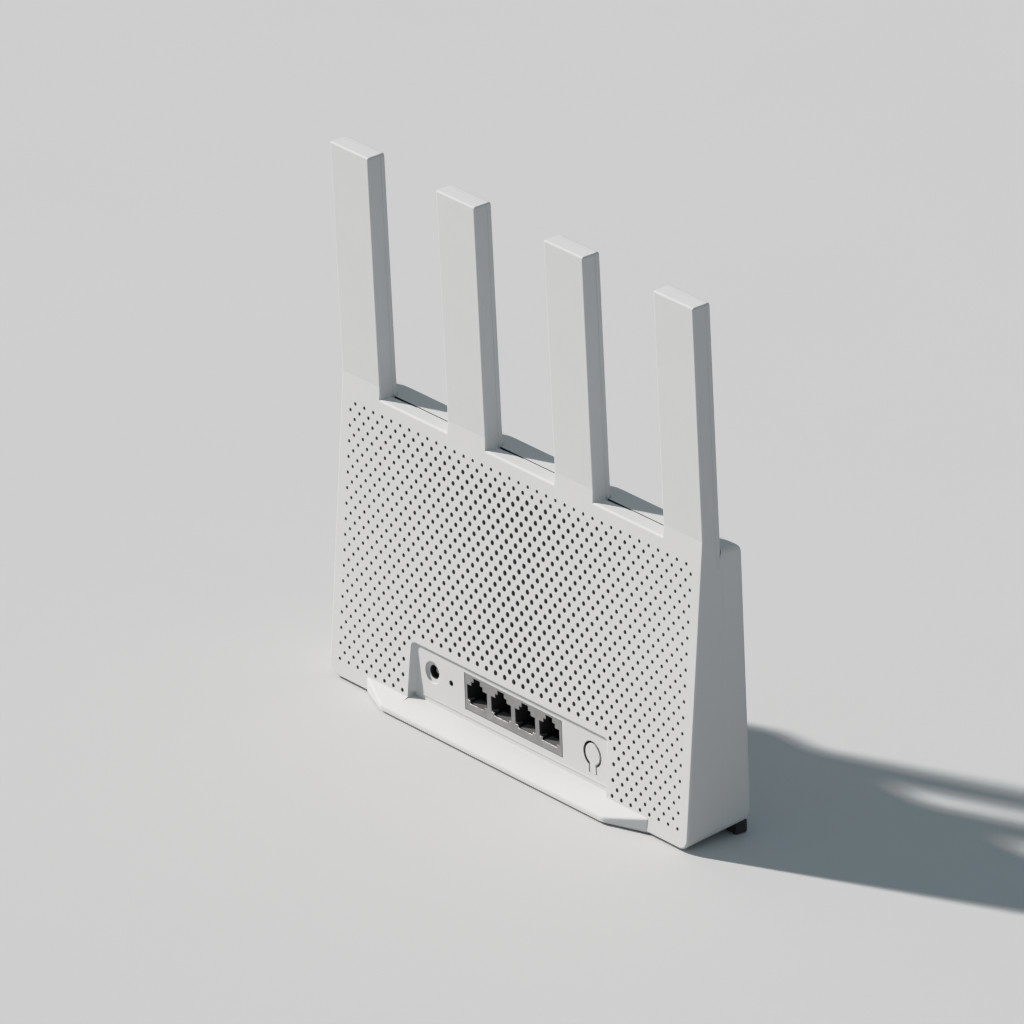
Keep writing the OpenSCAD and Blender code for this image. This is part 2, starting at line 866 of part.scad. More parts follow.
module front_feet() {
    color("dimgray") for (s = [-1, 1]) {
        foot(s * front_foot_x, front_y(front_gap) + 0.6, front_y(front_gap) + 6.2, front_foot_w);
    }
}

module rear_feet() {
    color("dimgray") for (s = [-1, 1]) {
        foot(s * cover_screw_x, 1.4, 8.6, rear_foot_w);
    }
}

module rating_label() {
    color("lightgray") along_x(-label_half_w, label_half_w) polygon([[-2, base_z(-2)],
        [3, base_z(3)], [3, base_z(3) - label_t], [-2, base_z(-2) - label_t]]);
}

front_shell();
rear_cover();
port_wall();
rear_grille();
side_grille(1);  // side_grille_1
side_grille(-1);  // side_grille_2
antenna_back(0);  // antenna_back_1
antenna_back(1);  // antenna_back_2
antenna_back(2);  // antenna_back_3
antenna_back(3);  // antenna_back_4
antenna_cover(0);  // antenna_cover_1
antenna_cover(1);  // antenna_cover_2
antenna_cover(2);  // antenna_cover_3
antenna_cover(3);  // antenna_cover_4
antenna_board(0);  // antenna_board_1
antenna_board(1);  // antenna_board_2
antenna_board(2);  // antenna_board_3
antenna_board(3);  // antenna_board_4
antenna_coax(0);  // antenna_coax_1
antenna_coax(1);  // antenna_coax_2
antenna_coax(2);  // antenna_coax_3
antenna_coax(3);  // antenna_coax_4
coax_plugs();
main_board();
board_screws();
port_shield();
port_insulator();
port_contacts();
dc_jack_body();
dc_jack_pin();
tact_switch(reset_x);  // reset_switch
plunger(reset_x);  // reset_plunger
mesh_key();
tact_switch(key_x);  // mesh_switch
plunger(key_x);  // mesh_plunger
processor_chip();
memory_chip();
flash_chip();
radio_chips();
shield_cans();
heatsink();
heatsink_pad();
heatsink_clips();
heat_spreader();
spreader_pad();
network_transformers();
capacitors();
power_inductors();
status_led();
light_pipe();
cover_screws();
front_feet();
rear_feet();
rating_label();
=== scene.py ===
"""Looks for the upright wifi router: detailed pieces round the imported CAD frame, in one frame.

Shapes are made in millimetres and scaled to metres when a piece is finished.
"""
import json
import math

import bmesh
import bpy
import numpy as np
from mathutils import Matrix, Vector


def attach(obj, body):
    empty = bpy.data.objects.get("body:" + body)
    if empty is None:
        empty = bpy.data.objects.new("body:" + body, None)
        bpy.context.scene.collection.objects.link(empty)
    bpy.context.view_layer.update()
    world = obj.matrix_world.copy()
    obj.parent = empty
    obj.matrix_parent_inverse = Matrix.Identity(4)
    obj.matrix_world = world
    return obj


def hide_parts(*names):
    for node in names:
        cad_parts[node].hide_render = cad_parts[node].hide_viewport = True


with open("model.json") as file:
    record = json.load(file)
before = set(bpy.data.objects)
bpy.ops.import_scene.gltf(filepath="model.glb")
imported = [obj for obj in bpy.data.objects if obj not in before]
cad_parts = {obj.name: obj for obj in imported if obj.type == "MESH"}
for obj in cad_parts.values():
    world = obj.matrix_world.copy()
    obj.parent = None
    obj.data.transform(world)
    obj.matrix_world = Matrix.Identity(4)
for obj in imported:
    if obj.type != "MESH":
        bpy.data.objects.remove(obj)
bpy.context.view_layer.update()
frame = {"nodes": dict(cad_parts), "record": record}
MM = 0.001

# ---- Dimensions, in millimetres and degrees. Y points from the front to the rear ----
HALF_W = 104.0
BODY_TOP = 113.4
REAR_Y0, REAR_LEAN = 11.85, 3.19                # rear face: its y at the floor, and its lean
FRONT_Y0, FRONT_LEAN = -18.84, 2.89             # front face, in the same way
WALL = 2.0
CORNER_R = 4.5                                  # lower corners of the body, seen from the rear
TOP_SIDE_R, REAR_SIDE_R, REAR_EDGE_R = 2.4, 0.85, 0.9
FRONT_TOP_R, FRONT_SIDE_R, FRONT_LOW_R = 4.0, 2.5, 3.3
REAR_GAP, FRONT_GAP = 0.8, 5.2                  # gap under the base, at the rear and in front
SEAM_Y, TOP_SEAM_Y = -4.15, -0.85               # where the shells meet: sides and base, top
SEAM_STEP_Z = BODY_TOP - WALL - 1               # height where the seam steps from one to the other
SEAM_GAP, GROOVE_GAP = 0.03, 0.45               # gap of the seam, and of the groove on the top
SLIT_RUN, SLIT_W = 14, 1.1                      # where that groove widens beside each blade
BLADE_W, BLADE_T, BLADE_H = 22.6, 8.5, 90.0     # the height is from the bend up
BLADE_LEAN, BEND_Z, BLADE_PITCH = 3.3, 118.0, 61.8
BLADE_SPLIT = 5.6                               # depth of a blade's rear half
BLADE_LOW, BLADE_DRAFT = -12.0, 0.2             # front half: its low end, and how far it tapers
BLADE_REAR_R, BLADE_FRONT_R = 0.8, 1.9
TIP_REAR_R, TIP_SIDE_R = 0.75, 0.9
HOLE_PITCH, ROW_PITCH, ROW_HOLES = 5.3, 3.02, 37
HOLE_D_MID, HOLE_FADE = 2.1, 0.0082             # widest hole, and its loss per mm sideways
HOLE_ROWS, RECESS_ROWS, FIRST_ROW_Z = 34, 8, 107.5
FIRST_ROW_D, SECOND_ROW_D = 1.35, 1.65          # widest holes of the two uppermost rows
ABOVE_RECESS_CLEAR, RECESS_CLEAR = 54.3, 59.6   # no holes nearer the middle than this
SKIN = 0.1                                      # depth of a hole's white mouth; deeper, its wall is painted shade
RECESS_HALF_W, RECESS_TOP, RECESS_R = 57.7, 28.5, 3.0
SHELF_Z, SHELF_HALF_W, SHELF_REAR_HALF_W = 6.3, 81.9, 64.4
SHELF_REAR_Y, SHELF_REAR_Z = 18.75, 2.9
SHELF_SIDE_R, SHELF_LIP_R, SHELF_LOW_R = 1.2, 0.75, 0.3
PORT_Y, PORT_Z, PORT_LEAN = 8.75, 18.4, 2.5     # middle of the recess wall, and its lean
PORT_X, PORT_PITCH, PORT_DEPTH = -0.5, 13.97, 14.5
PORT_LOW, PORT_HIGH, PORT_OPEN_W = -7.3, 7.1, 11.7
PORT_BLOCK_W = 4 * PORT_PITCH + 0.1
JACK_X, JACK_Z, JACK_BORE, JACK_RING = 46.3, 0.6, 5.6, 8.6
RESET_X, RESET_D = 35.5, 2.2
KEY_X, KEY_D, KEY_SLOT = -46.3, 8.6, 0.7
KEY_TRIM = 0.1                                  # the key is smaller and its hole larger by this
KEY_T, KEY_STEM_R, KEY_STEM_Y = 1.6, 1.2, -9.54
TONGUE_W, TONGUE_LOW = 3.2, -7.5
LED_Z, LED_W, LED_H = 16.0, 9.0, 1.2
MID_Z = 60.0                                    # between the body's low and high edges
NEAR = 0.01
FAR = 150.0
MATERIALS = 3                                   # most materials that a piece may have


def rear_y(z):
    return REAR_Y0 - z * math.tan(math.radians(REAR_LEAN))


def front_y(z):
    return FRONT_Y0 + z * math.tan(math.radians(FRONT_LEAN))


def base_z(y):
    """Height of the sloping base at depth y."""
    share = (rear_y(REAR_GAP) - y) / (rear_y(REAR_GAP) - front_y(FRONT_GAP))
    return REAR_GAP + share * (FRONT_GAP - REAR_GAP)


def blade_x(i):
    return (1.5 - i) * BLADE_PITCH


def turn_x(degrees):
    return Matrix.Rotation(math.radians(degrees), 4, "X")


# Frames: the recess wall's outer face, and each blade's rear face from the bend up
PORT_FRAME = Matrix.Translation((0, PORT_Y, PORT_Z)) @ turn_x(-PORT_LEAN)


def blade_frame(i):
    return Matrix.Translation((blade_x(i), rear_y(BEND_Z), BEND_Z)) @ turn_x(-BLADE_LEAN)


# Ways to lay an outline's (u, v) and the extrusion w: along X (u, v = Y, Z) or along Z (X, Y)
ALONG_X = Matrix(((0, 0, 1, 0), (1, 0, 0, 0), (0, 1, 0, 0), (0, 0, 0, 1)))
ALONG_Z = Matrix.Identity(4)


# ---- Mesh tools ----

def make(name, verts, faces, place=ALONG_Z):
    """A closed mesh object with its faces turned outwards."""
    mesh = bpy.data.meshes.new(name)
    mesh.from_pydata([place @ Vector(v) for v in verts], [], faces)
    bm = bmesh.new()
    bm.from_mesh(mesh)
    bmesh.ops.recalc_face_normals(bm, faces=bm.faces)
    bm.to_mesh(mesh)
    bm.free()
    obj = bpy.data.objects.new(name, mesh)
    bpy.context.scene.collection.objects.link(obj)
    return obj


def loft(rings, place=ALONG_Z):
    """A solid through rings that all have the same number of points."""
    n = len(rings[0])
    verts = [p for ring in rings for p in ring]
    faces = [tuple(range(n)), tuple(range(len(verts) - n, len(verts)))]
    for k in range(len(rings) - 1):
        for a in range(n):
            b = (a + 1) % n
            faces.append((k * n + a, k * n + b, k * n + n + b, k * n + n + a))
    return make("work", verts, faces, place)


def prism(outline, lo, hi, place=ALONG_Z):
    """An outline of (u, v) points, extruded from w = lo to w = hi."""
    return loft([[(u, v, w) for u, v in outline] for w in (lo, hi)], place)


def block(x0, x1, y0, y1, z0, z1, place=ALONG_Z):
    return prism([(x0, y0), (x1, y0), (x1, y1), (x0, y1)], z0, z1, place)


def circle(radius, n, cx, cy):
    step = 2 * math.pi / n
    return [(cx + radius * math.cos(a * step), cy + radius * math.sin(a * step))
            for a in range(n)]


def bake(obj):
    """Applies obj's modifiers to its mesh."""
    bpy.context.view_layer.update()
    graph = bpy.context.evaluated_depsgraph_get()
    mesh = bpy.data.meshes.new_from_object(obj.evaluated_get(graph), depsgraph=graph)
    obj.modifiers.clear()
    old, obj.data = obj.data, mesh
    bpy.data.meshes.remove(old)
    return obj


def boolean(obj, how, *tools):
    """Joins or cuts obj with tools. Faces cut by a painted tool keep its material number."""
    while len(obj.data.materials) < MATERIALS:
        obj.data.materials.append(None)
    for tool in tools:
        mod = obj.modifiers.new("cut", "BOOLEAN")
        mod.operation, mod.object, mod.solver = how, tool, "MANIFOLD"
        mod.material_mode = "INDEX"
        bake(obj)
        old = tool.data
        bpy.data.objects.remove(tool)
        bpy.data.meshes.remove(old)
    return obj


def cut(obj, *tools):
    return boolean(obj, "DIFFERENCE", *tools)


def join(obj, *tools):
    return boolean(obj, "UNION", *tools)


def common(obj, *tools):
    return boolean(obj, "INTERSECT", *tools)


def soften(obj, radius_of, segments=5):
    """Rounds each edge by the radius that radius_of(one end, other end) gives, in mm."""
    mesh = obj.data
    weights = mesh.attributes.new("bevel_weight_edge", "FLOAT", "EDGE")
    radii = []
    for e in mesh.edges:
        a, b = (mesh.vertices[v].co for v in e.vertices)
        radii.append(radius_of(a, b))
    largest = max(radii)
    weights.data.foreach_set("value", [r / largest for r in radii])
    mod = obj.modifiers.new("round", "BEVEL")
    mod.limit_method, mod.offset_type = "WEIGHT", "OFFSET"
    mod.width, mod.segments = largest, segments
    mod.use_clamp_overlap = False
    mod.miter_outer = "MITER_SHARP"
    return bake(obj)


def soften_sharp(obj, radius):
    """Rounds each edge that turns by more than 30 degrees."""
    mod = obj.modifiers.new("round", "BEVEL")
    mod.limit_method, mod.angle_limit = "ANGLE", math.radians(30)
    mod.width, mod.segments = radius, 3
    mod.use_clamp_overlap = True
    return bake(obj)


def shade(obj, limit=32):
    """Sets corner normals: smooth below limit degrees, and led by whichever plane is largest."""
    mesh = obj.data
    nf, nl, nv = len(mesh.polygons), len(mesh.loops), len(mesh.vertices)
    normal, centre = np.empty(nf * 3), np.empty(nf * 3)
    area, size = np.empty(nf), np.empty(nf, np.int32)
    mesh.polygons.foreach_get("normal", normal)
    mesh.polygons.foreach_get("center", centre)
    mesh.polygons.foreach_get("area", area)
    mesh.polygons.foreach_get("loop_total", size)
    vert = np.empty(nl, np.int32)
    mesh.loops.foreach_get("vertex_index", vert)
    normal, centre = normal.reshape(-1, 3), centre.reshape(-1, 3)
    key = np.round(np.c_[normal * 300, (normal * centre).sum(1) * 20])
    _, plane = np.unique(key, axis=0, return_inverse=True)
    weight = np.bincount(plane.ravel(), area)[plane.ravel()]
    order = np.argsort(vert, kind="stable")
    face = np.repeat(np.arange(nf), size)[order]
    counts = np.bincount(vert, minlength=nv)
    starts = np.concatenate(([0], np.cumsum(counts)[:-1]))
    result = np.empty((nl, 3))
    for k in np.unique(counts[counts > 0]):
        at = starts[counts == k][:, None] + np.arange(k)
        n, w = normal[face[at]], weight[face[at]]
        near = np.einsum("mic,mjc->mij", n, n) > math.cos(math.radians(limit))
        total = np.einsum("mij,mj,mjc->mic", near, w, n)
        total /= np.maximum(np.linalg.norm(total, axis=2, keepdims=True), 1e-12)
        result[order[at]] = total
    mesh.polygons.foreach_set("use_smooth", [True] * nf)
    mesh.normals_split_custom_set(result.tolist())
    return obj


def piece(obj, name, body, slot, materials, *replaced):
    """Finishes a piece: metres, shading, materials, body and the CAD nodes it stands for. slot is
    not used.
    """
    obj.name = obj.data.name = name
    obj.data.transform(Matrix.Scale(MM, 4))
    index = [p.material_index for p in obj.data.polygons]
    obj.data.materials.clear()
    for material in materials if isinstance(materials, tuple) else (materials,):
        obj.data.materials.append(material)
    if len(obj.data.materials) > 1:
        obj.data.polygons.foreach_set("material_index", index)
    for attribute in [a for a in obj.data.attributes if a.name == "bevel_weight_edge"]:
        obj.data.attributes.remove(attribute)
    shade(obj)
    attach(obj, body)
    if replaced:
        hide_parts(*replaced)
    return obj


# ---- Materials ----

def material(name, color, roughness, metallic=0.0, tint=0.02, grain=1500.0, stretch=(1, 1, 1),
             depth=8e-6, spread=0.05, patch=40.0, **sockets):
    """A procedural finish: slow colour drift, varied roughness and a fine surface grain."""
    mat = bpy.data.materials.new(name)
    mat.use_nodes = True
    tree = mat.node_tree
    shader = tree.nodes["Principled BSDF"]
    shader.inputs["Metallic"].default_value = metallic
    for socket, value in sockets.items():
        shader.inputs[socket.replace("_", " ")].default_value = value

    def node(kind, **inputs):
        made = tree.nodes.new(kind)
        for socket, value in inputs.items():
            made.inputs[socket.replace("_", " ")].default_value = value
        return made

    link = tree.links.new
    coords = node("ShaderNodeTexCoord")
    drift = node("ShaderNodeTexNoise", Scale=patch, Detail=3.0, Roughness=0.6)
    link(coords.outputs["Object"], drift.inputs["Vector"])
    ramp = tree.nodes.new("ShaderNodeValToRGB")
    for stop, place, level in zip(ramp.color_ramp.elements, (0.3, 0.7), (1 - tint, 1 + tint)):
        stop.position = place
        stop.color = [min(1.0, c * level) for c in color] + [1.0]
    link(drift.outputs["Fac"], ramp.inputs["Fac"])
    link(ramp.outputs["Color"], shader.inputs["Base Color"])
    mapping = node("ShaderNodeMapping", Scale=stretch)
    link(coords.outputs["Object"], mapping.inputs["Vector"])
    fine = node("ShaderNodeTexNoise", Scale=grain, Detail=2.0, Roughness=0.55)
    link(mapping.outputs["Vector"], fine.inputs["Vector"])
    spreads = node("ShaderNodeMapRange", From_Min=0.25, From_Max=0.75,
                   To_Min=max(0.02, roughness - spread), To_Max=min(1.0, roughness + spread))
    link(fine.outputs["Fac"], spreads.inputs["Value"])
    link(spreads.outputs["Result"], shader.inputs["Roughness"])
    bump = node("ShaderNodeBump", Strength=1.0, Distance=depth)
    link(fine.outputs["Fac"], bump.inputs["Height"])
    link(bump.outputs["Normal"], shader.inputs["Normal"])
    return mat


WHITE = material("white_shell", (0.68, 0.68, 0.677), 0.62, tint=0.008, depth=1.0e-5,
                 grain=2600.0, Specular_IOR_Level=0.35)
# Painted shade: near black on the walls deep in holes, slots and the top groove, where only shade
# falls
PAINTED_SHADE = material("painted_shade", (0.03, 0.03, 0.031), 0.7, tint=0.1)
# Painted shade: grey on the walls of the perforations below their white mouth
HOLE_SHADE = material("painted_hole_shade", (0.17, 0.17, 0.172), 0.7, tint=0.06)
WHITE_KEY = material("white_key", (0.68, 0.68, 0.677), 0.6, tint=0.006, depth=6e-6,
                     Specular_IOR_Level=0.35)
STEEL = material("port_steel", (0.44, 0.44, 0.44), 0.42, 1.0, tint=0.08, stretch=(1, 1, 12),
                 grain=900.0, depth=1.2e-5, spread=0.1, patch=260.0)
BLACK = material("black_plastic", (0.022, 0.022, 0.023), 0.48, tint=0.1, depth=9e-6)
GREY = material("grey_plastic", (0.15, 0.15, 0.15), 0.5, tint=0.1, depth=9e-6)
GOLD = material("gold_contact", (0.83, 0.62, 0.26), 0.25, 1.0, tint=0.04, depth=2e-6)
SCREW = material("steel_screw", (0.55, 0.55, 0.56), 0.3, 1.0, tint=0.05, depth=4e-6)
# Pin metal toned dark as painted shade, for the pin deep in the power inlet's bore
PIN = material("pin_metal", (0.34, 0.34, 0.34), 0.3, 1.0, tint=0.03, depth=2e-6)
BUTTON = material("button_metal", (0.6, 0.6, 0.6), 0.3, 1.0, tint=0.03, depth=3e-6)
BOARD = material("circuit_board", (0.022, 0.10, 0.055), 0.3, tint=0.2, patch=160.0, depth=6e-6,
                 Coat_Weight=0.3)
JACKET = material("cable_jacket", (0.05, 0.05, 0.05), 0.5, tint=0.1)
CHIP = material("chip_black", (0.045, 0.045, 0.05), 0.55, tint=0.08, depth=8e-6)
ALUMINIUM = material("sink_aluminium", (0.70, 0.71, 0.72), 0.36, 1.0, tint=0.03,
                     stretch=(1, 1, 30), grain=600.0)
PAD = material("thermal_pad", (0.36, 0.52, 0.62), 0.8, tint=0.05)
CAN = material("capacitor_can", (0.62, 0.62, 0.64), 0.3, 1.0, tint=0.04)
LENS = material("led_lens", (0.82, 0.82, 0.79), 0.28, tint=0.01, depth=2e-6,
                Subsurface_Weight=0.3, Subsurface_Scale=0.002)
RUBBER = material("foot_rubber", (0.028, 0.028, 0.028), 0.82, tint=0.12, depth=2.5e-5)
FILM = material("label_film", (0.66, 0.66, 0.66), 0.4, tint=0.01, depth=2e-6)
BY_SLOT = {
    "white_shell": WHITE, "circuit_board": BOARD, "cable_jacket": JACKET,
    "gold_contact": GOLD, "steel_screw": SCREW, "port_steel": STEEL, "black_plastic": BLACK,
    "pin_metal": PIN, "button_metal": BUTTON, "chip_black": CHIP, "sink_aluminium": ALUMINIUM,
    "thermal_pad": PAD, "capacitor_can": CAN, "led_lens": LENS, "foot_rubber": RUBBER,
    "label_film": FILM,
}
for part in frame["record"]["subparts"]:
    mesh = frame["nodes"][part["node"]].data
    mesh.materials.clear()
    mesh.materials.append(BY_SLOT[part["material_slot"]])


# ---- Body outline ----

def inset(points, d):
    """Moves each side of a polygon inwards by d."""
    n = len(points)
    turn = sum(points[k][0] * points[(k + 1) % n][1] - points[(k + 1) % n][0] * points[k][1]
               for k in range(n))
    side = 1 if turn > 0 else -1
    lines = []
    for k in range(n):
        a, b = Vector(points[k]), Vector(points[(k + 1) % n])
        along = (b - a).normalized()
        inwards = Vector((-along.y, along.x)) * side
        lines.append((a + inwards * d, along))
    result = []
    for k in range(n):
        (p, u), (q, v) = lines[k - 1], lines[k]
        t = ((q.x - p.x) * v.y - (q.y - p.y) * v.x) / (u.x * v.y - u.y * v.x)
        result.append(tuple(p + u * t))
    return result


SIDE = [(rear_y(REAR_GAP), REAR_GAP), (rear_y(BODY_TOP), BODY_TOP),
        (front_y(BODY_TOP), BODY_TOP), (front_y(FRONT_GAP), FRONT_GAP)]


def body_outline(low, r=CORNER_R):
    """Outline of the body seen from the rear, from height low up, with round lower corners."""
    turn = [k * math.pi / 20 for k in range(11)]
    right = [(HALF_W - r + r * math.cos(a), low + r - r * math.sin(a)) for a in turn]
    left = [(-x, z) for x, z in right[::-1]]
    return [(-HALF_W, BODY_TOP), (HALF_W, BODY_TOP)] + right + left


def body_radius(a, b):
    """The radius of the body's edge from a to b: small at the rear, larger in front."""
    low, high = min(a.z, b.z), max(a.z, b.z)
    if abs(a.y - b.y) > 10:                          # along the depth
        return TOP_SIDE_R if low > MID_Z else 0.0
    upright = high - low > MID_Z
    if a.y > 0:
        return REAR_SIDE_R if upright else REAR_EDGE_R
    if upright:
        return FRONT_SIDE_R
    if low > MID_Z:
        return FRONT_TOP_R
    up = ((low + high) / 2 - FRONT_GAP) / CORNER_R   # 0 at the base, 1 at the round corner's end
    return FRONT_LOW_R - (FRONT_LOW_R - FRONT_SIDE_R) * up


def body():
    """The solid between the sloping rear and front faces, its edges rounded."""
    rear = [(x, rear_y(z), z) for x, z in body_outline(REAR_GAP)]
    ahead = [(x, front_y(z), z) for x, z in body_outline(FRONT_GAP)]
    return soften(loft([rear, ahead]), body_radius, 7)


def hollow():
    """The room inside the body, a wall's thickness in from every face."""
    return prism(inset(SIDE, WALL), -HALF_W + WALL, HALF_W - WALL, ALONG_X)


# ---- Recess, shelf and what is in the recess wall ----

def recess(grow=0.0):
    """The room of the recess, with round inner corners. With grow, the walls round it."""
    lean = math.tan(math.radians(PORT_LEAN))
    low, high = SHELF_Z - grow, RECESS_TOP + grow
    half = RECESS_HALF_W + grow
    wall_low = PORT_Y + (low - PORT_Z) * lean - grow
    wall_high = PORT_Y + (high - PORT_Z) * lean - grow
    between, out = 20.0, 40.0                        # y on the way to the open end, and y there
    obj = prism([(wall_low, low), (wall_high, high), (out, high), (out, low)], -half, half,
                ALONG_X)

    def radius(a, b):
        if max(a.y, b.y) < between:                  # edges of the back wall
            if abs(a.x - b.x) > NEAR:
                return RECESS_R if a.z < PORT_Z else 0.5
            return RECESS_R
        if min(a.y, b.y) < between and a.z > PORT_Z:  # upper corners
            return RECESS_R
        return 0.0

    return soften(obj, radius, 6)


def crease_shaver():
    """A cutter that takes the crease off where the recess floor turns down into the shelf."""
    reach = 3.4
    edge = rear_y(SHELF_Z)
    slope = (SHELF_Z - SHELF_REAR_Z) / (SHELF_REAR_Y - edge)
    run = Vector((1, -slope)).normalized() * reach
    start, corner = Vector((edge - reach, SHELF_Z)), Vector((edge, SHELF_Z))
    end = corner + run
    curve = []
    for k in range(11):
        t = k / 10
        curve.append(tuple(start * (1 - t) ** 2 + corner * 2 * t * (1 - t) + end * t * t))
    outline = curve + [(end.x, SHELF_Z + 2), (start.x, SHELF_Z + 2)]
    return prism(outline, -RECESS_HALF_W, RECESS_HALF_W, ALONG_X)


def shelf():
    """The shelf behind the recess, rooted in the body's base, with slanting sides."""
    inner = RECESS_HALF_W + WALL
    root_y = 4                                       # how far in the shelf starts
    foot_y = rear_y(4)                               # where its slanting sides start
    right = [(SHELF_REAR_HALF_W, SHELF_REAR_Y), (SHELF_HALF_W, foot_y),
             (SHELF_HALF_W, foot_y - WALL), (inner, foot_y - WALL), (inner, root_y)]
    outline = [(-x, y) for x, y in right[::-1]] + right
    y0 = rear_y(REAR_GAP) - 1.2
    side = [(root_y, base_z(root_y) + 1), (y0, base_z(y0) + 1), (y0, REAR_GAP),
            (SHELF_REAR_Y, REAR_GAP), (SHELF_REAR_Y, SHELF_REAR_Z), (rear_y(SHELF_Z), SHELF_Z),
            (root_y, SHELF_Z)]
    obj = common(prism(outline, 0.1, 12, ALONG_Z), prism(side, -HALF_W, HALF_W, ALONG_X))

    def radius(a, b):
        outer = min(a.y, b.y) > foot_y - NEAR - 0.3
        if not outer:
            return 0.0
        if abs(a.z - b.z) > 1.0 and abs(a.x - b.x) < NEAR:
            return SHELF_SIDE_R                      # upright corners
        if max(a.z, b.z) < REAR_GAP + NEAR:
            return SHELF_LOW_R
        lip = abs(a.x) < SHELF_HALF_W + NEAR and max(a.y, b.y) > foot_y + 1
        return SHELF_LIP_R if lip else 0.0

    return soften(obj, radius, 4)


def turned(rings, x, z, n):
    """A round solid square to the recess wall, through rings of (radius, y)."""
    return loft([[(u, y, v) for u, v in circle(r, n, x, z)] for r, y in rings], PORT_FRAME)


def disc_cutter(x, z, radius, depth, flare, n=48, dark_from=FAR):
    """A cutter for a round hole in the recess wall, chamfered by flare at its mouth, with painted
    shade deeper than dark_from.
    """
    rings = [(radius + flare + 0.5, 0.5), (radius, -flare)]
    if dark_from < depth:
        rings.append((radius, -dark_from))
    rings.append((radius, -depth))
    return darken(turned(rings, x, z, n), dark_from)


def darken(obj, depth):
    """Paints painted shade, near black, on a wall cutter's faces where their middle lies deeper
    than depth.
    """
    back = PORT_FRAME.inverted()
    paint(obj, [(back @ face.center).y < -depth for face in obj.data.polygons])
    return obj


def paint(obj, dark, number=1):
    """Gives the faces that dark marks as true the material of that number: the painted shade of
    holes, slots and the groove.
    """
    for _ in range(MATERIALS):
        obj.data.materials.append(None)
    obj.data.polygons.foreach_set("material_index", [number * int(d) for d in dark])


def port_box(x0, x1, y0, y1, z0, z1):
    return block(x0, x1, y0, y1, z0, z1, PORT_FRAME)


def port_wall_cutters():
    """Cutters for the port window, the key and its tongue, the inlet and the pinhole, with painted
    shade deep in the slots and holes.
    """
    half = PORT_BLOCK_W / 2
    deep = 8                                         # well past the wall's inner face
    window = port_box(PORT_X - half - 0.6, PORT_X + half + 0.15, -deep, 12, PORT_LOW - 0.25,
                      PORT_HIGH + 0.12)
    slot_half = TONGUE_W / 2 + KEY_SLOT
    low = TONGUE_LOW - 0.12
    sides = [(KEY_X - slot_half, low), (KEY_X + slot_half, low), (KEY_X + slot_half, 0),
             (KEY_X - slot_half, 0)]
    tongue = loft([[(x, y, z) for x, z in sides] for y in (0.5, -0.3, -deep)], PORT_FRAME)
    return [window, darken(tongue, 0.3),
            disc_cutter(JACK_X, JACK_Z, JACK_RING / 2, 0.85, 0.12),
            disc_cutter(JACK_X, JACK_Z, JACK_BORE / 2 - 0.05, deep, 0, dark_from=1.0),
            disc_cutter(RESET_X, 0, RESET_D / 2, deep, 0.06, 32, dark_from=0.15),
            disc_cutter(KEY_X, 0, KEY_D / 2 + KEY_SLOT + KEY_TRIM, deep, 0.1, dark_from=0.1)]


# ---- Perforations ----

def hole_list():
    """Place along the panel and diameter of every hole in the rear panel."""
    holes = []
    for r in range(HOLE_ROWS):
        count = ROW_HOLES + r % 2
        cap = {0: FIRST_ROW_D, 1: SECOND_ROW_D}.get(r, HOLE_D_MID)
        below = r - (HOLE_ROWS - RECESS_ROWS)
        clear = -1.0 if below < 0 else (ABOVE_RECESS_CLEAR if below == 0 else RECESS_CLEAR)
        for k in range(count):
            x = (k - (count - 1) / 2) * HOLE_PITCH
            if abs(x) > clear:
                up = (HOLE_ROWS - 1 - r) * ROW_PITCH
                holes.append((x, up, min(cap, HOLE_D_MID - HOLE_FADE * abs(x))))
    return holes


def hole_cutters(segments=24):
    """One mesh of all the hole cutters, with painted shade on their walls below the skin."""
    lean = math.radians(REAR_LEAN)
    low = FIRST_ROW_Z - (HOLE_ROWS - 1) * ROW_PITCH * math.cos(lean)
    frame_up = np.array((0, -math.sin(lean), math.cos(lean)))
    frame_in = np.array((0, -math.cos(lean), -math.sin(lean)))
    origin = np.array((0, rear_y(low), low))
    turn = np.arange(segments) * 2 * math.pi / segments
    depths = (-0.3, SKIN, 3.2)                       # outside, end of the mouth, past the wall
    rings = len(depths)
    verts, faces, dark = [], [], []
    for x, up, d in hole_list():
        start = len(verts)
        for depth in depths:
            for a in turn:
                spot = origin + frame_up * (up + d / 2 * math.sin(a)) + frame_in * depth
                verts.append((x + d / 2 * math.cos(a), spot[1], spot[2]))
        for k in range(rings - 1):
            for a in range(segments):
                b = (a + 1) % segments
                at = start + k * segments
                faces.append((at + a, at + segments + a, at + segments + b, at + b))
                dark.append(k == rings - 2)
        faces.append(tuple(range(start, start + segments)))
        faces.append(tuple(range(start + rings * segments - 1,
                                 start + (rings - 1) * segments - 1, -1)))
        dark += [False, False]
    obj = make("holes", verts, faces)
    paint(obj, dark, 2)
    return obj


# ---- Blades ----

def blade_part(i, y0, y1, low, radius_of, room, draft=0.0):
    """One half of blade i between two depths of its frame, from low to the tip, room cut out."""
    half = BLADE_W / 2
    lo_half = half - draft
    outline = [(-lo_half, y0), (lo_half, y0), (half, y1), (-half, y1)]
    obj = soften(prism(outline, low, BLADE_H), radius_of, 6)
    cut(obj, block(*room))
    obj.data.transform(blade_frame(i))
    return obj


def back_radius(a, b):
    """Edge radii of a blade's rear half."""
    top = min(a.z, b.z) > BLADE_H - NEAR
    rear = min(a.y, b.y) > -NEAR
    if rear and not top:
        return BLADE_REAR_R if abs(a.z - b.z) > 1 else 0.0
    if top:
        if rear:
            return TIP_REAR_R
        return TIP_SIDE_R if abs(a.x - b.x) < NEAR else 0.0
    return 0.0


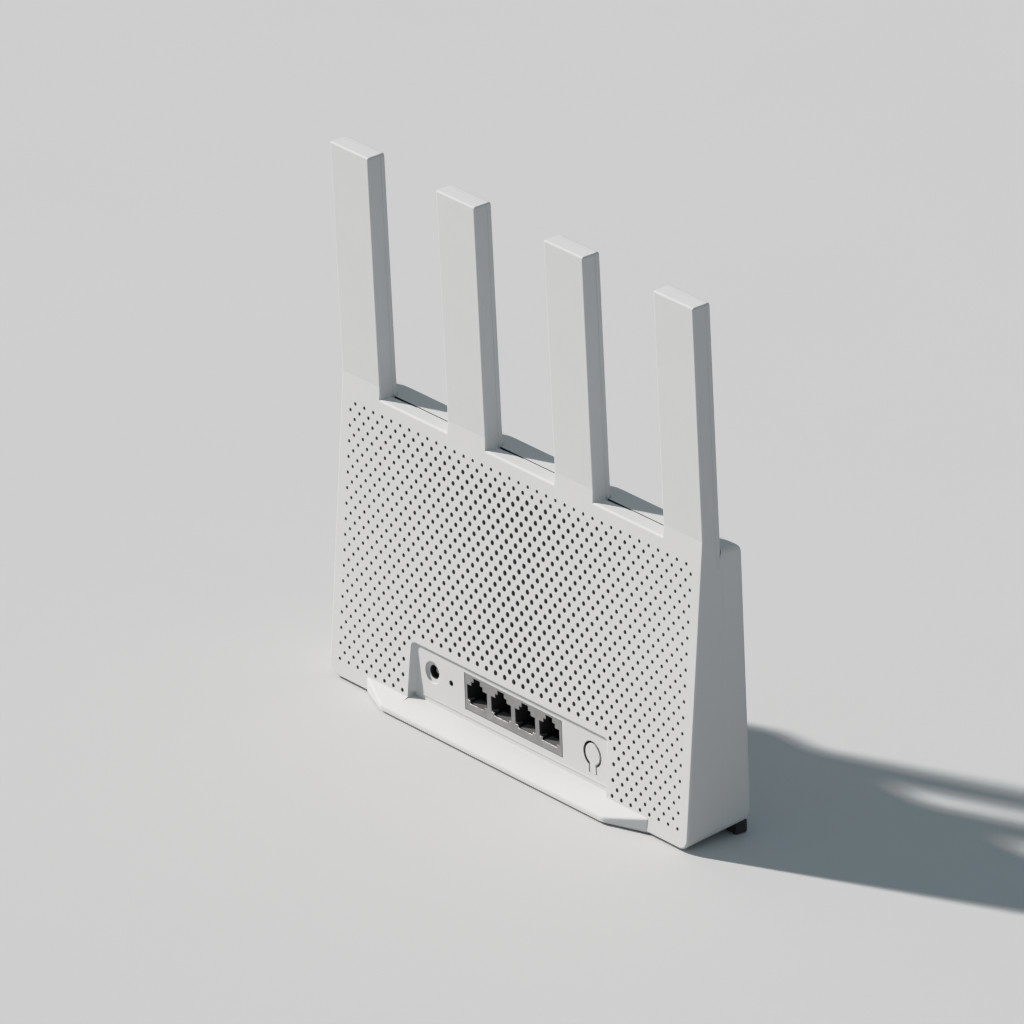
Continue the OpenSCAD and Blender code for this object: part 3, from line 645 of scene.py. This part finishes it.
def cover_radius(a, b):
    """Edge radii of a blade's front half."""
    top = min(a.z, b.z) > BLADE_H - NEAR
    front = max(a.y, b.y) < -BLADE_T + NEAR
    if front and not top:
        return BLADE_FRONT_R if abs(a.z - b.z) > 1 else 0.0
    if top:
        if front:
            return BLADE_FRONT_R
        return TIP_SIDE_R if abs(a.y - b.y) > 1 else 0.0
    return 0.0


def blade_root(i):
    """The part of the rear cover that rises into blade i, up to the bend."""
    half, r = BLADE_W / 2, BLADE_REAR_R
    corner = [(r - r * math.sin(a), r - r * math.cos(a))
              for a in [k * math.pi / 12 for k in range(7)]]
    rear = [(half - u, -v) for u, v in corner[::-1]]
    ring = [(-x, y) for x, y in rear] + rear[::-1]
    frame_i = blade_frame(i)
    top = [frame_i @ Vector((x, y, 0)) for x, y in
           [(-half, -BLADE_SPLIT)] + ring + [(half, -BLADE_SPLIT)]]
    low_z = 98.0
    drop = (BEND_Z - low_z) * math.tan(math.radians(BLADE_LEAN))
    front = rear_y(BEND_Z) - drop - BLADE_SPLIT
    low = [Vector((blade_x(i) + x, rear_y(low_z) + y, low_z)) for x, y in ring]
    low = [Vector((blade_x(i) - half, front, low_z))] + low
    low.append(Vector((blade_x(i) + half, front, low_z)))
    return loft([low, top])


def blade_room(i, low, gap):
    """Room for the foot of blade i in the shells, from height low up, with gap all round."""
    half, front, r = BLADE_W / 2 + gap, BLADE_T + gap, BLADE_FRONT_R
    turn = [k * math.pi / 12 for k in range(7)]
    right = [(half - r + r * math.cos(a), -front + r - r * math.sin(a)) for a in turn]
    left = [(-x, y) for x, y in right[::-1]]
    outline = [(-half, 1 - BLADE_SPLIT), (half, 1 - BLADE_SPLIT)] + right + left
    return prism(outline, low - BEND_Z, 40, blade_frame(i))


# The rooms leave walls of 1.3 to 1.6 mm
for i in range(4):
    n = i + 1
    back = blade_part(i, -BLADE_SPLIT, 0, 0.0, back_radius,
                      (-10, 10, -BLADE_SPLIT - 1, -1.3, -1, BLADE_H - 1.5))
    piece(back, f"blade_back_{n}", "housing", "white_shell", WHITE, f"antenna_back_{n}")
    ahead = blade_part(i, -BLADE_T, -BLADE_SPLIT - 0.08, BLADE_LOW, cover_radius,
                       (-9.7, 9.7, -BLADE_T + 1.4, -BLADE_SPLIT + 1, BLADE_LOW - 1, BLADE_H - 1.6),
                       BLADE_DRAFT)
    piece(ahead, f"blade_front_{n}", "housing", "white_shell", WHITE, f"antenna_cover_{n}")


# ---- Rear cover ----

def seam_cutters():
    """All the room that belongs to the front shell, below and above the seam's step."""
    below = block(-FAR, FAR, SEAM_Y - FAR, SEAM_Y, -10, SEAM_STEP_Z)
    above = block(-FAR, FAR, TOP_SEAM_Y - FAR, TOP_SEAM_Y, SEAM_STEP_Z, BODY_TOP + 20)
    return below, above


def slit(i):
    """A cutter that opens the groove on the top towards the rear, where it meets blade i, its
    walls painted shade.
    """
    near, far = blade_x(i) - BLADE_W / 2 - 0.02, blade_x(i) - BLADE_W / 2 - SLIT_RUN
    obj = prism([(near, TOP_SEAM_Y - 0.5), (near, TOP_SEAM_Y + SLIT_W),
                 (far, TOP_SEAM_Y + 0.3), (far, TOP_SEAM_Y - 0.5)], BODY_TOP - 1.5, 130)
    paint(obj, [True] * len(obj.data.polygons))
    return obj


rear_cover = cut(body(), hollow())
recess_wall = common(recess(WALL), body())
join(rear_cover, recess_wall, shelf())
cut(rear_cover, *seam_cutters())
for i in range(4):
    cut(rear_cover, blade_room(i, BODY_TOP - 7.2, 0.02))
    join(rear_cover, cut(blade_root(i), hollow()))
    cut(rear_cover, slit(i))
cut(rear_cover, recess(), crease_shaver(), *port_wall_cutters())
cut(rear_cover, hole_cutters())
# Its second and third materials are painted shade in the slots, holes, groove and perforations
piece(rear_cover, "rear_cover_shell", "housing", "white_shell", (WHITE, PAINTED_SHADE, HOLE_SHADE),
      "rear_cover", "port_wall", "rear_grille", "side_grille_1", "side_grille_2")


# ---- Front shell ----
front_shell = cut(body(), hollow())
cut(front_shell, block(-FAR, FAR, SEAM_Y - SEAM_GAP, FAR, -10, SEAM_STEP_Z))
# The groove's walls are painted shade, near black
groove = block(-FAR, FAR, TOP_SEAM_Y - GROOVE_GAP, FAR, SEAM_STEP_Z, BODY_TOP + 20)
paint(groove, [True] * len(groove.data.polygons))
cut(front_shell, groove)
for i in range(4):
    cut(front_shell, blade_room(i, BODY_TOP - 4.8, 0.14))
cut(front_shell, block(-LED_W / 2, LED_W / 2, -40, 0, LED_Z - LED_H / 2, LED_Z + LED_H / 2))
piece(front_shell, "front_shell_case", "housing", "white_shell", (WHITE, PAINTED_SHADE), "front_shell")


# ---- Network ports ----

def port_x(k):
    return PORT_X + (k - 1.5) * PORT_PITCH


def port_outline(grow):
    """The stepped opening of one port, narrower towards its top and at its foot."""
    a, b, c = PORT_OPEN_W / 2 + grow, 3.4 + grow, 1.95 + grow
    low, s1, s2, high = -4.4 - grow, 3.0 + grow, 4.6 + grow, 6.4 + grow
    inner, step = PORT_OPEN_W / 2 - 1.6 + grow, -3.3 - grow
    return [(-a, step), (-inner, step), (-inner, low), (inner, low), (inner, step), (a, step),
            (a, s1), (b, s1), (b, s2), (c, s2), (c, high), (-c, high),
            (-c, s2), (-b, s2), (-b, s1), (-a, s1)]


def port_cutter(k):
    """A cutter for the opening of port k in the shield's face, its edge slightly eased."""
    x, ease, depth = port_x(k), 0.02, 3
    rings = [(ease + 0.4, SHIELD_Y + 0.4), (0.0, SHIELD_Y - ease), (0.0, -depth)]
    return loft([[(x + u, y, v) for u, v in port_outline(g)] for g, y in rings], PORT_FRAME)


SHIELD_Y, SHIELD_T, SHIELD_R = -0.1, 0.3, 0.25
half = PORT_BLOCK_W / 2
board_y = SHIELD_Y - PORT_DEPTH
shield = port_box(PORT_X - half, PORT_X + half, board_y, SHIELD_Y, PORT_LOW, PORT_HIGH)
soften_sharp(shield, SHIELD_R)
cut(shield, port_box(PORT_X - half + SHIELD_T, PORT_X + half - SHIELD_T, board_y - 1,
                     SHIELD_Y - SHIELD_T, PORT_LOW + SHIELD_T, PORT_HIGH - SHIELD_T))
for k in range(4):
    cut(shield, port_cutter(k))
piece(shield, "port_shield_case", "housing", "port_steel", STEEL, "port_shield")

TAB_T, TAB_RUN, TAB_BEND = 0.4, 2.6, 0.25
TAB_Y, TAB_Z, TAB_ROOT_H, TAB_TIP_H = -0.45, -4.2, 1.5, 1.2


def spring_tab(k, side):
    """A tab of the shield, bent in at one lower corner of port k: side is -1 or 1."""
    rings = []
    for y, bend, h in ((TAB_Y, 0.0, TAB_ROOT_H), (TAB_Y - TAB_RUN, TAB_BEND, TAB_TIP_H)):
        x = port_x(k) + side * (PORT_OPEN_W / 2 - 0.25 - bend)
        x0, x1 = x - TAB_T / 2, x + TAB_T / 2
        rings.append([(x0, y, TAB_Z), (x1, y, TAB_Z), (x1, y, TAB_Z + h), (x0, y, TAB_Z + h)])
    return loft(rings, PORT_FRAME)


def jack_floor(k):
    """The floor of one jack, which catches the light just inside the opening."""
    outline = [(-0.5, -4.35), (-4.5, -4.05), (-4.5, -4.4), (-0.5, -4.4)]
    half_w = 4.1
    return prism(outline, port_x(k) - half_w, port_x(k) + half_w, PORT_FRAME @ ALONG_X)


tabs = [spring_tab(k, side) for k in range(4) for side in (-1, 1)]
piece(join(*tabs), "port_shield_tabs", "housing", "port_steel", STEEL)
floors = [jack_floor(k) for k in range(4)]
piece(join(*floors), "port_floor_plates", "housing", "black_plastic", GREY)


# ---- Mesh key ----
key_r = KEY_D / 2 - KEY_TRIM
key = turned([(key_r, -KEY_T), (key_r, -0.35), (key_r - 0.1, -0.1), (key_r - 0.3, 0.0)],
             KEY_X, 0, 64)
tongue = port_box(KEY_X - TONGUE_W / 2, KEY_X + TONGUE_W / 2, -KEY_T, 0, TONGUE_LOW, -2)
stem = turned([(KEY_STEM_R, KEY_STEM_Y), (KEY_STEM_R, 0.2 - KEY_T)], KEY_X, 0, 32)
piece(join(key, tongue, stem), "mesh_key_cap", "mesh_key", "white_shell", WHITE_KEY, "mesh_key")


# ---- Feet ----

def foot(x, y0, y1, w, r):
    """A foot from the floor up to the sloping base, w wide round x."""
    outline = [(y0, 0), (y1, 0), (y1, base_z(y1)), (y0, base_z(y0))]
    return soften_sharp(prism(outline, x - w / 2, x + w / 2, ALONG_X), r)


FOOT_Y = front_y(FRONT_GAP) + 0.6
for name, y0, y1, x, w, r in (("front", FOOT_Y, FOOT_Y + 5.2, 93, 17, 0.7),
                              ("rear", 1.4, 8.6, 82, 16, 0.35)):
    left, right = foot(x, y0, y1, w, r), foot(-x, y0, y1, w, r)
    piece(join(left, right), f"{name}_feet_rubber", "housing", "foot_rubber", RUBBER,
          f"{name}_feet")


# ---- Stage, light and camera, in metres ----
FLOOR_HALF = 6.0
floor = make("floor", [(-FLOOR_HALF, -FLOOR_HALF, 0), (FLOOR_HALF, -FLOOR_HALF, 0),
                       (FLOOR_HALF, FLOOR_HALF, 0), (-FLOOR_HALF, FLOOR_HALF, 0)], [(0, 1, 2, 3)])
floor.data.materials.append(material("floor_paper", (0.61, 0.61, 0.61), 0.9, tint=0.01,
                                     patch=3.0, depth=1e-5, grain=900.0))

# A film's curve: the shade slightly deeper, the highlights soft
FILM_CURVE = ((0.10, 0.098), (0.19, 0.186), (0.30, 0.262), (0.42, 0.405), (0.617, 0.617),
              (0.863, 0.775))
FILM_WHITE = 0.84
scene = bpy.context.scene
scene.view_settings.view_transform = "Standard"
scene.view_settings.look = "None"
scene.view_settings.use_curve_mapping = True
film = scene.view_settings.curve_mapping
for exposure, level in FILM_CURVE:
    film.curves[3].points.new(exposure, level)
film.curves[3].points[-1].location = (1.0, FILM_WHITE)
film.update()

# A cool, even sky and one warm, soft key light
world = bpy.data.worlds.new("studio")
scene.world = world
world.use_nodes = True
sky = world.node_tree.nodes["Background"]
sky.inputs["Color"].default_value = (0.80, 1.0, 1.12, 1)
sky.inputs["Strength"].default_value = 0.275

SUN_HEIGHT = math.radians(34.9)
sun_data = bpy.data.lights.new("key", "SUN")
sun_data.energy, sun_data.angle = 4.2, math.radians(3.0)
sun_data.color = (1.0, 0.93, 0.885)
sun = bpy.data.objects.new("key", sun_data)
scene.collection.objects.link(sun)
travel = Vector((-0.894 * math.cos(SUN_HEIGHT), -0.448 * math.cos(SUN_HEIGHT),
                 -math.sin(SUN_HEIGHT)))
sun.rotation_euler = travel.to_track_quat("-Z", "Y").to_euler()

# The camera stands behind the router on its -X side and looks down by 22.5 degrees
look = Vector((0.7261, -0.5713, -0.3827)).normalized()
right = look.cross(Vector((0, 0, 1))).normalized()
up = right.cross(look)
cam_data = bpy.data.cameras.new("camera")
cam_data.lens, cam_data.sensor_width = 486.2, 36.0
cam_data.shift_x, cam_data.shift_y = 0.0083, 0.0015
cam_data.clip_start, cam_data.clip_end = 0.1, 50.0
cam = bpy.data.objects.new("camera", cam_data)
scene.collection.objects.link(cam)
place = Matrix((right, up, -look)).transposed().to_4x4()
place.translation = Vector((-3.5843, 2.8328, 1.9865))
cam.matrix_world = place
scene.camera = cam
